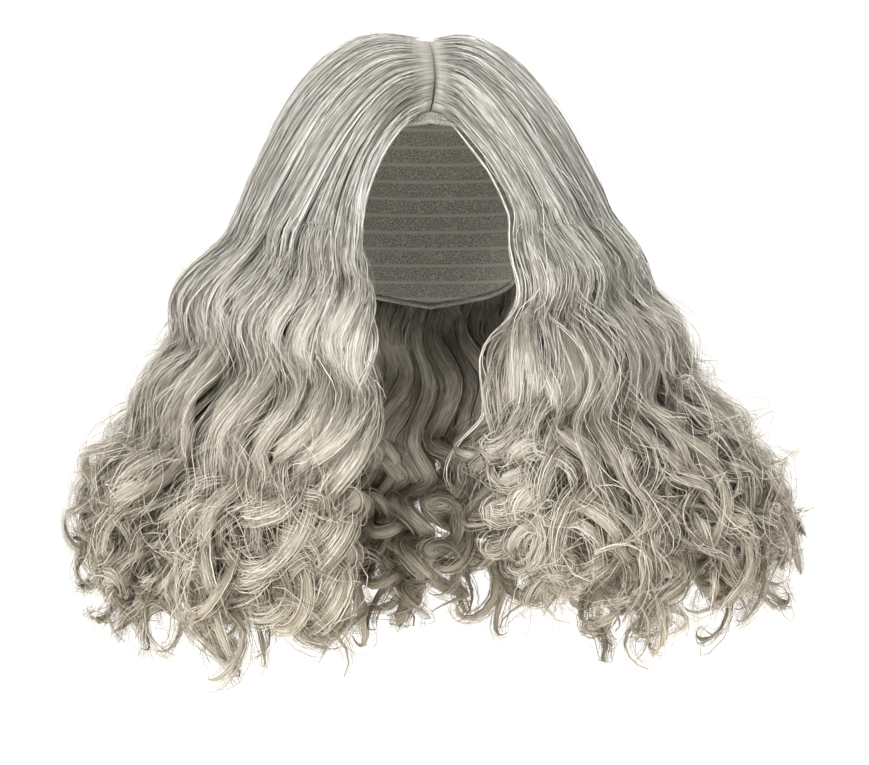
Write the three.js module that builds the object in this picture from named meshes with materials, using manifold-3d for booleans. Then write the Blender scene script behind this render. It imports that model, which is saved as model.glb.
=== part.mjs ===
// A long curly wig with a centre parting: a thin cap, combed crown hair and hanging wavy locks with curled ends.
// Millimetres. The origin is the inside top of the cap, +Z is up and the face opening looks along -Y.

import * as THREE from "three";
import { mergeVertices } from "three/addons/utils/BufferGeometryUtils.js";
import Module from "manifold-3d";

const wasm = await Module();
wasm.setup();

// Cap
const headWidth = 152;
const headLength = 190;
const crownHeight = 115; // inside top of the cap above the ears
const capWall = 2;
const hairlineDrop = 43; // forehead rim below the inside top
const napeDrop = 172; // nape rim below the inside top
const headSquareness = 2.3; // 2 is a plain ellipsoid

// Combed crown hair
const crownLoft = 35; // the hair's dome over the inside top of the cap
const domeLeft = 128; // half-width of that dome on the side of -X
const domeRight = 110;
const domeSquarenessLeft = 2.3;
const domeSquarenessRight = 2;
const partingGap = 1;
const partingFront = 52; // degrees before the vertical where the parting meets the forehead
const partingBack = -38; // degrees behind the vertical where it ends
const partingDip = 0.7; // hair depth left at the parting, as a share
const partingShiftTop = -4; // the parting runs aslant: its place across at the top
const partingShiftFront = 6; // and at the forehead
const faceEdgeDepth = 0.45; // hair depth left beside the face, as a share
const foreheadArch = 0.14; // how far the face edge is pushed out between parting and temple
const foreheadFullness = 0.6; // how early that push begins, less being earlier
const foreheadReach = 4; // how fast it dies out away from the face, more being faster
const faceThinning = 0.1; // share of the hair across over which it grows to its full depth
const partingEase = 0.2; // share of the way down over which the parting's dip closes

// Hanging hair
const hairDrop = 448; // lowest curl below the inside top
const reachLeft = 262; // widest point on the side of -X
const reachRight = 274;
const reachFront = 130;
const reachBack = 172;
const shoulderHalfWidth = 200; // room inside the hair for the shoulders
const shoulderBack = 116;
const waveLength = 90;
const waveHeight = 12;
const waveOnset = 0.22; // level at which the wave has its full height
const calmBack = 0.1; // share of the hair across, at the middle of the back, where the wave dies out
const ripple = 0.06; // the wave's rise and fall outwards, as a share of the hair's depth
const grooveDepth = 0.24; // grooves between locks, as a share of the hair's depth
const endTaper = 52; // length over which a lock draws in to its end
const endShare = 0.5; // size of the lock's end, as a share
const endBluntness = 0.7; // 1 is a straight taper, less is a blunter one

// Curls at the ends
const curlRadius = 13;
const curlThickness = 15;
const curlTurn = 320; // degrees
const curlTip = 0.6; // thickness of the curl's tip, as a share

// Clearances and mesh fineness
const gap = 0.4; // between neighbouring pieces
const capClearance = 1.2; // between the cap and the hair that lies on it
const stations = 20; // levels along a hanging lock
const crownStations = 10;
const crownInsidePlaces = 17;
const capColumns = 36;
const capRings = 9;
const curlSteps = 9;
const curlSides = 5;
const degrees = Math.PI / 180;

// The cap's rim by the azimuth from the face: how far it hangs, as a share between the forehead and the nape.
const rim = [
  { azimuth: 0, hang: 0 },
  { azimuth: 22, hang: 0.06 },
  { azimuth: 42, hang: 0.36 },
  { azimuth: 58, hang: 0.54 },
  { azimuth: 90, hang: 0.6 },
  { azimuth: 130, hang: 0.88 },
  { azimuth: 180, hang: 1 },
];

// The hanging hair's outline by level, from the ears (0) to the lowest curl (1).
// left, right, front and back are shares of the named reaches, spread is how far the hollow has opened from the cap
// to the shoulders, and the face edges are shares of the head's half-width.
const outline = [
  { level: 0, left: 0.53, right: 0.476, front: 0.83, back: 0.75, spread: 0, edgeLeft: 0.66, edgeRight: 0.73 },
  { level: 0.1, left: 0.64, right: 0.57, front: 0.84, back: 0.82, spread: 0, edgeLeft: 0.66, edgeRight: 0.74 },
  { level: 0.21, left: 0.715, right: 0.636, front: 0.85, back: 0.88, spread: 0, edgeLeft: 0.62, edgeRight: 0.68 },
  { level: 0.31, left: 0.765, right: 0.7, front: 0.87, back: 0.93, spread: 0.1, edgeLeft: 0.55, edgeRight: 0.52 },
  { level: 0.42, left: 0.85, right: 0.82, front: 0.9, back: 0.96, spread: 0.25, edgeLeft: 0.5, edgeRight: 0.3 },
  { level: 0.52, left: 0.92, right: 0.91, front: 0.93, back: 0.98, spread: 0.5, edgeLeft: 0.56, edgeRight: 0.2 },
  { level: 0.62, left: 0.98, right: 0.975, front: 0.96, back: 1, spread: 0.75, edgeLeft: 0.68, edgeRight: 0.22 },
  { level: 0.73, left: 1, right: 1, front: 0.99, back: 1, spread: 0.92, edgeLeft: 0.72, edgeRight: 0.38 },
  { level: 0.83, left: 0.96, right: 0.96, front: 1, back: 0.98, spread: 1, edgeLeft: 0.7, edgeRight: 0.56 },
  { level: 1, left: 0.86, right: 0.86, front: 1, back: 0.92, spread: 1, edgeLeft: 0.72, edgeRight: 0.75 },
];

// The locks of each side, from the face edge (0) to the middle of the back (1): where a lock begins, the level of its
// lowest curl, the start of its wave in degrees, how far its end curl sits out through the hair, and the curl's lean.
const locksLeft = [
  { name: "face_lock_left", from: 0, end: 0.95, phase: 20, out: 0.62, lean: 10 },
  { name: "front_lock_left_1", from: 0.105, end: 1, phase: 50, out: 0.7, lean: -25 },
  { name: "front_lock_left_2", from: 0.22, end: 0.95, phase: 120, out: 0.8, lean: 12 },
  { name: "side_lock_left_1", from: 0.335, end: 0.88, phase: 160, out: 0.8, lean: -42 },
  { name: "side_lock_left_2", from: 0.445, end: 0.84, phase: 230, out: 0.78, lean: 35 },
  { name: "side_lock_left_3", from: 0.555, end: 0.88, phase: 280, out: 0.7, lean: -20 },
  { name: "back_lock_left_1", from: 0.665, end: 0.94, phase: 320, out: 0.66, lean: 15 },
  { name: "back_lock_left_2", from: 0.775, end: 0.97, phase: 380, out: 0.66, lean: -20 },
  { name: "back_lock_left_3", from: 0.885, end: 0.99, phase: 420, out: 0.66, lean: 10 },
];
const locksRight = [
  { name: "face_lock_right", from: 0, end: 0.86, phase: 200, out: 0.62, lean: -15 },
  { name: "front_lock_right_1", from: 0.105, end: 0.92, phase: 250, out: 0.7, lean: 20 },
  { name: "front_lock_right_2", from: 0.22, end: 0.89, phase: 310, out: 0.7, lean: -30 },
  { name: "side_lock_right_1", from: 0.335, end: 0.85, phase: 340, out: 0.72, lean: 15 },
  { name: "side_lock_right_2", from: 0.445, end: 0.81, phase: 400, out: 0.72, lean: -20 },
  { name: "side_lock_right_3", from: 0.555, end: 0.88, phase: 450, out: 0.7, lean: 25 },
  { name: "back_lock_right_1", from: 0.665, end: 0.93, phase: 500, out: 0.66, lean: -10 },
  { name: "back_lock_right_2", from: 0.775, end: 0.98, phase: 540, out: 0.66, lean: 20 },
  { name: "back_lock_right_3", from: 0.885, end: 0.96, phase: 600, out: 0.66, lean: -15 },
];

const sides = {
  left: {
    sign: -1,
    reach: reachLeft,
    outward: "left",
    edge: "edgeLeft",
    locks: locksLeft,
    dome: { width: domeLeft, squareness: domeSquarenessLeft },
  },
  right: {
    sign: 1,
    reach: reachRight,
    outward: "right",
    edge: "edgeRight",
    locks: locksRight,
    dome: { width: domeRight, squareness: domeSquarenessRight },
  },
};

const material = (color, roughness) => new THREE.MeshStandardMaterial({ color, roughness, metalness: 0 });
const capNet = material(0x8f8d86, 0.9);
const crownFibre = material(0xb9b7ae, 0.45);
const lockFibre = material(0xc4c1b6, 0.5);

const { lerp, clamp, smoothstep } = THREE.MathUtils;
const signedPower = (x, power) => Math.sign(x) * Math.abs(x) ** power;

// Smooth reading of a table: a Catmull-Rom spline through the rows' values of one column.
function read(table, along, at, column) {
  let i = 0;
  while (i < table.length - 2 && table[i + 1][along] < at) i++;
  const value = (k) => table[clamp(k, 0, table.length - 1)][column];
  const place = (k) => table[clamp(k, 0, table.length - 1)][along];
  const span = place(i + 1) - place(i);
  const t = clamp((at - place(i)) / span, 0, 1);
  const slope = (k) => (value(k + 1) - value(k - 1)) / Math.max(place(k + 1) - place(k - 1), span);
  const [m0, m1] = [slope(i) * span, slope(i + 1) * span];
  const [t2, t3] = [t * t, t * t * t];
  const blend = 3 * t2 - 2 * t3;
  return lerp(value(i), value(i + 1), blend) + (t3 - 2 * t2 + t) * m0 + (t3 - t2) * m1;
}

// The faces that fill a closed outline, found in its mean plane and turned like the outline.
function fill(outline) {
  const normal = new THREE.Vector3();
  outline.forEach((p, i) => normal.add(new THREE.Vector3().crossVectors(p, outline[(i + 1) % outline.length])));
  const level = new THREE.Quaternion().setFromUnitVectors(normal.normalize(), new THREE.Vector3(0, 0, 1));
  const flat = outline.map((p) => p.clone().applyQuaternion(level));
  return THREE.ShapeUtils.triangulateShape(flat, []).map((face) => face.toSorted((a, b) => a - b));
}

// A closed solid through sections of equally many points. The last side is cut along its other diagonal, so that the
// twisted walls of two neighbouring locks are cut alike and stay clear of each other.
function loft(sections) {
  const count = sections[0].length;
  const points = sections.flat();
  const end = points.length - count;
  const index = [];
  for (let i = 0; i < count; i++) {
    const j = (i + 1) % count;
    for (let k = 0; k < sections.length - 1; k++) {
      const [a, b] = [k * count, (k + 1) * count];
      if (j) index.push(a + i, a + j, b + j, a + i, b + j, b + i);
      else index.push(a + i, a + j, b + i, a + j, b + j, b + i);
    }
  }
  for (const face of fill(sections[0])) index.push(...face.toReversed());
  for (const face of fill(sections.at(-1))) index.push(...face.map((i) => end + i));
  return new THREE.BufferGeometry().setFromPoints(points).setIndex(index);
}

function solidOf(geometry) {
  const bare = new THREE.BufferGeometry().setAttribute("position", geometry.getAttribute("position"));
  const merged = mergeVertices(bare.setIndex(geometry.index), 1e-4);
  const triVerts = new Uint32Array(merged.index.array);
  const made = new wasm.Manifold(
    new wasm.Mesh({ numProp: 3, vertProperties: merged.attributes.position.array, triVerts }),
  );
  if (made.volume() > 0) return made;
  return new wasm.Manifold(
    new wasm.Mesh({ numProp: 3, vertProperties: merged.attributes.position.array, triVerts: triVerts.reverse() }),
  );
}

function meshOf(name, solid, finish) {
  const { numProp, numVert, vertProperties, triVerts } = solid.getMesh();
  const position = new Float32Array(numVert * 3);
  for (let i = 0; i < numVert; i++) position.set(vertProperties.subarray(i * numProp, i * numProp + 3), i * 3);
  const geometry = new THREE.BufferGeometry().setAttribute("position", new THREE.BufferAttribute(position, 3));
  geometry.setIndex(new THREE.BufferAttribute(triVerts, 1));
  geometry.computeVertexNormals();
  const mesh = new THREE.Mesh(geometry, finish);
  mesh.name = name;
  return mesh;
}

// A point of a squared ellipsoid about the middle of the head at ear height, for a direction of length 1.
function domePoint(direction, half, squareness) {
  const power = 2 / squareness;
  return new THREE.Vector3(
    half.x * signedPower(direction.x, power),
    half.y * signedPower(direction.y, power),
    half.z * signedPower(direction.z, power) - crownHeight,
  );
}

// The cap's surface, set off outwards by a thickness.
function capPoint(azimuth, share, thickness) {
  const hang = lerp(hairlineDrop, napeDrop, read(rim, "azimuth", Math.min(azimuth, 360 - azimuth), "hang"));
  const half = { x: headWidth / 2 + thickness, y: headLength / 2 + thickness, z: crownHeight + thickness };
  const above = clamp((crownHeight - hang) / crownHeight, 0, 1) ** (headSquareness / 2);
  const below = Math.max(hang - crownHeight, 0);
  const arc = Math.acos(above) * half.z;
  const way = share * (arc + below);
  const polar = Math.min(way, arc) / half.z;
  const turn = azimuth * degrees;
  const flat = Math.sin(polar);
  const direction = new THREE.Vector3(flat * Math.sin(turn), -flat * Math.cos(turn), Math.cos(polar));
  const point = domePoint(direction, half, headSquareness);
  point.z -= Math.max(way - arc, 0);
  return point;
}

function cap() {
  const ring = (share, thickness) =>
    Array.from({ length: capColumns }, (_, i) => capPoint((360 * i) / capColumns, share, thickness));
  const smallest = 0.02; // share of the way to the rim where the ring lies that closes the top
  const shares = Array.from({ length: capRings }, (_, k) => lerp(smallest, 1, k / (capRings - 1)));
  const outside = shares.map((share) => ring(share, capWall));
  const inside = shares.map((share) => ring(share, 0)).reverse();
  return meshOf("cap", solidOf(loft([...outside, ...inside])), capNet);
}

// Half-widths of the hair's inner and outer surface at a level of the hanging hair.
function ringAt(side, level) {
  const spread = read(outline, "level", level, "spread");
  const innerSide = headWidth / 2 + capWall + capClearance;
  const innerBack = headLength / 2 + capWall + capClearance;
  return {
    edge: (read(outline, "level", level, side.edge) * headWidth) / 2,
    inner: {
      side: lerp(innerSide, shoulderHalfWidth, spread),
      front: innerBack,
      back: lerp(innerBack, shoulderBack, spread),
      squareness: headSquareness,
    },
    outer: {
      side: read(outline, "level", level, side.outward) * side.reach,
      front: read(outline, "level", level, "front") * reachFront,
      back: read(outline, "level", level, "back") * reachBack,
      squareness: 2,
    },
  };
}

// The turn about the head of a place across the hair: 0 at the face edge, 1 at the middle of the back.
function turnAt(across, edge, surface) {
  const sine = (x) => Math.asin(clamp(x / surface.side, 0, 1) ** (surface.squareness / 2));
  return lerp(sine(edge), Math.PI - sine(partingGap / 2), across);
}

function ringPoint(side, level, across, surface) {
  const turn = turnAt(across, ringAt(side, level).edge, surface);
  const power = 2 / surface.squareness;
  const depth = Math.cos(turn) > 0 ? surface.front : surface.back;
  return new THREE.Vector3(
    side.sign * surface.side * signedPower(Math.sin(turn), power),
    -depth * signedPower(Math.cos(turn), power),
    -lerp(crownHeight, hairDrop, level),
  );
}

// How deep the hair is at a place across it: thinner beside the face, and hollowed at the borders of the locks.
function depthShare(side, across, amount) {
  const borders = [...side.locks.map((lock) => lock.from), 1];
  const i = clamp(borders.findLastIndex((from) => from <= across), 0, side.locks.length - 1);
  const within = (across - borders[i]) / (borders[i + 1] - borders[i]);
  const groove = amount * grooveDepth * (2 * within - 1) ** 2;
  return lerp(faceEdgeDepth, 1, smoothstep(across, 0, faceThinning)) * (1 - groove);
}

// Where a border between locks has moved to along its wave, in millimetres across the hair.
function waveAt(side, level, across, lag) {
  const phase = read(side.locks, "from", across, "phase") + lag;
  const drop = level * (hairDrop - crownHeight);
  const height = waveHeight * smoothstep(level, 0, waveOnset) * clamp((1 - across) / calmBack, 0, 1);
  return height * Math.sin((2 * Math.PI * drop) / waveLength + phase * degrees);
}

function lockSurface(side, level, across, outside) {
  const ring = ringAt(side, level);
  const [inner, outer] = [ring.inner, ring.outer];
  const length = outer.side + (outer.front + outer.back) / 2;
  const moved = across + waveAt(side, level, across, 0) / length;
  const innerPoint = ringPoint(side, level, moved, inner);
  if (!outside) return innerPoint;
  const rise = 1 + (ripple * waveAt(side, level, across, 90)) / waveHeight;
  return innerPoint.lerp(ringPoint(side, level, moved, outer), depthShare(side, across, 1) * rise);
}

// One level of a lock as a closed outline: five places along the outside and three on the inside.
function lockSection(side, level, from, to, size) {
  const ring = ringAt(side, level);
  const margin = gap / (ring.inner.side + ring.inner.back) / 2;
  const [first, last] = [from + margin, to - margin];
  const outside = [0, 0.25, 0.5, 0.75, 1].map((t) => lockSurface(side, level, lerp(first, last, t), true));
  const inside = [1, 0.5, 0].map((t) => lockSurface(side, level, lerp(first, last, t), false));
  const points = [...outside, ...inside];
  const middle = points.reduce((sum, p) => sum.add(p), new THREE.Vector3()).divideScalar(points.length);
  return points.map((p) => p.lerp(middle, 1 - size));
}

// A ring of curled hair: a tube that runs once round and narrows to its tip.
function curl(centre, outward, lean) {
  const up = new THREE.Vector3(0, 0, 1);
  const turned = outward.clone().applyAxisAngle(up, lean * degrees);
  const across = new THREE.Vector3().crossVectors(up, turned).normalize();
  const sections = Array.from({ length: curlSteps + 1 }, (_, k) => {
    const turn = (90 - (curlTurn * k) / curlSteps) * degrees;
    const spoke = across.clone().multiplyScalar(Math.cos(turn)).addScaledVector(up, Math.sin(turn));
    const tube = (curlThickness / 2) * lerp(1, curlTip, k / curlSteps);
    const middle = centre.clone().addScaledVector(spoke, curlRadius);
    return Array.from({ length: curlSides }, (_, i) => {
      const roll = (2 * Math.PI * i) / curlSides;
      const offset = spoke.clone().multiplyScalar(Math.cos(roll)).addScaledVector(turned, Math.sin(roll));
      return middle.clone().addScaledVector(offset, tube);
    });
  });
  return solidOf(loft(sections));
}

function lock(side, row, to) {
  const hang = hairDrop - crownHeight;
  const trunkEnd = row.end - curlRadius / hang;
  const start = gap / hang;
  const step = 1 / stations;
  const levels = Array.from({ length: stations }, (_, k) => start + k * step);
  const sizeAt = (level) => lerp(endShare, 1, clamp(((trunkEnd - level) * hang) / endTaper, 0, 1) ** endBluntness);
  const sections = [...levels.filter((level) => level < trunkEnd - step / 2), trunkEnd].map((level) =>
    lockSection(side, level, row.from, to, sizeAt(level)),
  );
  const centreLevel = row.end - (curlRadius + curlThickness / 2) / hang;
  const middle = (row.from + to) / 2;
  const inside = lockSurface(side, centreLevel, middle, false);
  const outside = lockSurface(side, centreLevel, middle, true);
  const outward = outside.clone().sub(inside).setZ(0).normalize();
  const ends = curl(inside.lerp(outside, row.out), outward, row.lean);
  return meshOf(row.name, solidOf(loft(sections)).add(ends), lockFibre);
}

// A place of the combed hair: along runs from the parting (0) to the ears (1).
function crownPoint(side, along, across, outside) {
  const ring = ringAt(side, 0);
  const surface = outside ? ring.outer : ring.inner;
  const spread = outside ? lerp(side.dome.width, surface.side, along ** 2) : surface.side;
  const height = crownHeight + (outside ? crownLoft : capWall + capClearance);
  const squareness = outside ? lerp(side.dome.squareness, surface.squareness, along) : surface.squareness;
  const sine = (x) => (x / spread) ** (squareness / 2);
  const part = lerp(partingFront, partingBack, across) * degrees;
  const root = new THREE.Vector3(sine(partingGap / 2), -Math.sin(part), Math.cos(part)).normalize();
  const turn = turnAt(across, ring.edge, surface);
  const foot = new THREE.Vector3(Math.sin(turn), -Math.cos(turn), 0);
  const angle = root.angleTo(foot);
  const direction = root.multiplyScalar(Math.sin((1 - along) * angle)).addScaledVector(foot, Math.sin(along * angle));
  direction.divideScalar(Math.sin(angle));
  direction.x += foreheadArch * Math.sin(Math.PI * along) ** foreheadFullness * (1 - across) ** foreheadReach;
  direction.normalize();
  const half = { x: spread, y: direction.y < 0 ? surface.front : surface.back, z: height };
  const point = domePoint(direction, half, squareness);
  point.x *= side.sign;
  const shift = lerp(partingShiftTop, partingShiftFront, smoothstep(-point.y, 0, headLength / 2));
  if (outside) point.x += shift * (1 - along) ** 2;
  return point;
}

function crown(side, name) {
  const borders = [...side.locks.map((row) => row.from), 1];
  const thirds = [0, 1 / 3, 2 / 3];
  const outsidePlaces = side.locks.flatMap((_, i) => thirds.map((t) => lerp(borders[i], borders[i + 1], t)));
  const insidePlaces = Array.from({ length: crownInsidePlaces }, (_, i) => 1 - i / (crownInsidePlaces - 1));
  const sections = Array.from({ length: crownStations }, (_, k) => {
    const along = k / (crownStations - 1);
    const partingDepth = lerp(partingDip, 1, smoothstep(along, 0, partingEase));
    const outer = [...outsidePlaces, 1].map((across) => {
      const inside = crownPoint(side, along, across, false);
      return inside.lerp(crownPoint(side, along, across, true), depthShare(side, across, along) * partingDepth);
    });
    return [...outer, ...insidePlaces.map((across) => crownPoint(side, along, across, false))];
  });
  return meshOf(name, solidOf(loft(sections)), crownFibre);
}

const wig = new THREE.Group();
wig.name = "curly_wig";
wig.add(cap(), crown(sides.left, "crown_left"), crown(sides.right, "crown_right"));
for (const side of Object.values(sides))
  side.locks.forEach((row, i) => wig.add(lock(side, row, side.locks[i + 1]?.from ?? 1)));

export default wig;
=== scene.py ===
import math

import bpy
import numpy as np
from bpy.props import FloatProperty, FloatVectorProperty, IntProperty, PointerProperty
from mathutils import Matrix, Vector


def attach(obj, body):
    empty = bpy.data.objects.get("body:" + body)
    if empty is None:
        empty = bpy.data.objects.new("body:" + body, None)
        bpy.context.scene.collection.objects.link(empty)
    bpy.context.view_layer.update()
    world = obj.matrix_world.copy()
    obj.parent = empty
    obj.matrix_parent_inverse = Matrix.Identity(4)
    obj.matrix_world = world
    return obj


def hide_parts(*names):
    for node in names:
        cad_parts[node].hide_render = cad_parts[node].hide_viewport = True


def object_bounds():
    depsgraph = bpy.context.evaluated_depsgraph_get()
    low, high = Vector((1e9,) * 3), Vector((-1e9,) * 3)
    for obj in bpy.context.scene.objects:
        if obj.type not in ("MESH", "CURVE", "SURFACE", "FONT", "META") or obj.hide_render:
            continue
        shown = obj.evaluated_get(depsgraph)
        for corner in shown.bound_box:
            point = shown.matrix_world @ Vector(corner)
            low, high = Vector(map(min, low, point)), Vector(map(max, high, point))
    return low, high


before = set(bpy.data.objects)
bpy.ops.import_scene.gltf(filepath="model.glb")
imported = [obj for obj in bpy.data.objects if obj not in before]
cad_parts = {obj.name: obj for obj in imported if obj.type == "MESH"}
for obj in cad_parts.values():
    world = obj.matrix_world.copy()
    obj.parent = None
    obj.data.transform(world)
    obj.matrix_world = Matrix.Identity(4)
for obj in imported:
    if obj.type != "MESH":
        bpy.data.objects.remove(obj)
CAD_BOX = [[float(x) for x in corner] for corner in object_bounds()]

bl_info = {
    "name": "Curly wig",
    "version": (1, 0, 0),
    "blender": (4, 5, 0),
    "location": "3D View > Sidebar > Wig",
    "description": "Builds a long curly wig: net cap, combed crown and wavy locks with curled ends",
    "category": "Object",
}

MM = 0.001

# Head and cap, as in the frame
HEAD_WIDTH = 152 * MM
HEAD_LENGTH = 190 * MM
CROWN_HEIGHT = 115 * MM
CAP_WALL = 2 * MM
CAP_CLEARANCE = 1.2 * MM
HAIRLINE_DROP = 43 * MM
NAPE_DROP = 172 * MM
HEAD_SQUARENESS = 2.3

# Combed crown
CROWN_LOFT = 35 * MM
PARTING_GAP = 1 * MM
PARTING_FRONT = 52  # degrees before the vertical
PARTING_BACK = -38
PARTING_DIP = 0.7
PARTING_EASE = 0.2
PARTING_SHIFT_TOP = -4 * MM
PARTING_SHIFT_FRONT = 6 * MM
FACE_EDGE_DEPTH = 0.45
FACE_THINNING = 0.1
FOREHEAD_ARCH = 0.14
FOREHEAD_FULLNESS = 0.6
FOREHEAD_REACH = 4

# Hanging hair
HAIR_DROP = 448 * MM
REACH_LEFT = 262 * MM
REACH_RIGHT = 274 * MM
REACH_FRONT = 130 * MM
REACH_BACK = 172 * MM
SHOULDER_HALF_WIDTH = 200 * MM
SHOULDER_BACK = 116 * MM
GROOVE_DEPTH = 0.24
HANG = HAIR_DROP - CROWN_HEIGHT

# The cap's rim by the azimuth from the face: how far it hangs, from the forehead (0) to the nape (1).
RIM = (
    dict(azimuth=0, hang=0),
    dict(azimuth=22, hang=0.06),
    dict(azimuth=42, hang=0.36),
    dict(azimuth=58, hang=0.54),
    dict(azimuth=90, hang=0.6),
    dict(azimuth=130, hang=0.88),
    dict(azimuth=180, hang=1),
)

# The hanging hair's outline by level, from the ears (0) to the lowest curl (1).
# Left, right, front and back are shares of the named reaches, and spread is how far the inside opens
# from the head to the shoulders. An edge is the face opening's half-width as a share of the head's.
OUTLINE_COLUMNS = ("level", "left", "right", "front", "back", "spread", "edge_left", "edge_right")
OUTLINE_ROWS = (
    (0, 0.53, 0.476, 0.83, 0.75, 0, 0.66, 0.73),
    (0.1, 0.64, 0.57, 0.84, 0.82, 0, 0.66, 0.74),
    (0.21, 0.715, 0.636, 0.85, 0.88, 0, 0.62, 0.68),
    (0.31, 0.765, 0.7, 0.87, 0.93, 0.1, 0.55, 0.52),
    (0.42, 0.85, 0.82, 0.9, 0.96, 0.25, 0.5, 0.3),
    (0.52, 0.92, 0.91, 0.93, 0.98, 0.5, 0.56, 0.2),
    (0.62, 0.98, 0.975, 0.96, 1, 0.75, 0.68, 0.22),
    (0.73, 1, 1, 0.99, 1, 0.92, 0.72, 0.38),
    (0.83, 0.96, 0.96, 1, 0.98, 1, 0.7, 0.56),
    (1, 0.86, 0.86, 1, 0.92, 1, 0.72, 0.75),
)
OUTLINE = [dict(zip(OUTLINE_COLUMNS, row)) for row in OUTLINE_ROWS]

# The locks from the face edge (0) to the middle of the back (1): where each begins across the hair,
# the level of its lowest curl and the start of its wave in degrees.
LOCKS_LEFT = (
    dict(name="face_lock_left", start=0, end=0.95, phase=20),
    dict(name="front_lock_left_1", start=0.105, end=1, phase=50),
    dict(name="front_lock_left_2", start=0.22, end=0.95, phase=120),
    dict(name="side_lock_left_1", start=0.335, end=0.88, phase=160),
    dict(name="side_lock_left_2", start=0.445, end=0.84, phase=230),
    dict(name="side_lock_left_3", start=0.555, end=0.88, phase=280),
    dict(name="back_lock_left_1", start=0.665, end=0.94, phase=320),
    dict(name="back_lock_left_2", start=0.775, end=0.97, phase=380),
    dict(name="back_lock_left_3", start=0.885, end=0.99, phase=420),
)
LOCKS_RIGHT = (
    dict(name="face_lock_right", start=0, end=0.86, phase=200),
    dict(name="front_lock_right_1", start=0.105, end=0.92, phase=250),
    dict(name="front_lock_right_2", start=0.22, end=0.89, phase=310),
    dict(name="side_lock_right_1", start=0.335, end=0.85, phase=340),
    dict(name="side_lock_right_2", start=0.445, end=0.81, phase=400),
    dict(name="side_lock_right_3", start=0.555, end=0.88, phase=450),
    dict(name="back_lock_right_1", start=0.665, end=0.93, phase=500),
    dict(name="back_lock_right_2", start=0.775, end=0.98, phase=540),
    dict(name="back_lock_right_3", start=0.885, end=0.96, phase=600),
)

# How thickly each kind of lock is filled: bundles of hair on the outside and towards the head, veils of
# loose strands, ringlets at the ends, and the fine ribbons of fibre on each bundle.
FILL = {
    "face": dict(outer=6, inner=3, veils=4, ringlets=5, ribbons=32, inner_ribbons=20),
    "front": dict(outer=6, inner=2, veils=5, ringlets=6, ribbons=30, inner_ribbons=14),
    "side": dict(outer=6, inner=2, veils=5, ringlets=6, ribbons=22, inner_ribbons=10),
    "back": dict(outer=5, inner=5, veils=3, ringlets=3, ribbons=18, inner_ribbons=20),
}


def lerp(a, b, t):
    return a + (b - a) * t


def smoothstep(x, low, high):
    t = np.clip((x - low) / (high - low), 0, 1)
    return t * t * (3 - 2 * t)


def signed_power(x, power):
    return np.sign(x) * np.abs(x) ** power


def unit(v):
    return v / np.maximum(np.linalg.norm(v, axis=-1, keepdims=True), 1e-12)


def along_axis(v, axis):
    """The part of a vector that runs along a unit axis."""
    return (v * axis).sum(-1, keepdims=True) * axis


def linear(code):
    """An sRGB hex colour as linear red, green and blue."""
    channels = [int(code[i : i + 2], 16) / 255 for i in (1, 3, 5)]
    return [c / 12.92 if c <= 0.04045 else ((c + 0.055) / 1.055) ** 2.4 for c in channels]


def reader(rows, along, column):
    """A smooth curve through one column of a table, as a function of the column along."""
    place = np.array([row[along] for row in rows], float)
    value = np.array([row[column] for row in rows], float)
    slope = np.gradient(value, place)
    slope[1:-1] = (value[2:] - value[:-2]) / (place[2:] - place[:-2])

    def read(at):
        at = np.asarray(at, float)
        i = np.clip(np.searchsorted(place, at, side="right") - 1, 0, len(place) - 2)
        span = place[i + 1] - place[i]
        t = np.clip((at - place[i]) / span, 0, 1)
        blend = t * t * (3 - 2 * t)
        bend = (t**3 - 2 * t**2 + t) * slope[i] * span + (t**3 - t**2) * slope[i + 1] * span
        return lerp(value[i], value[i + 1], blend) + bend

    return read


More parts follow.
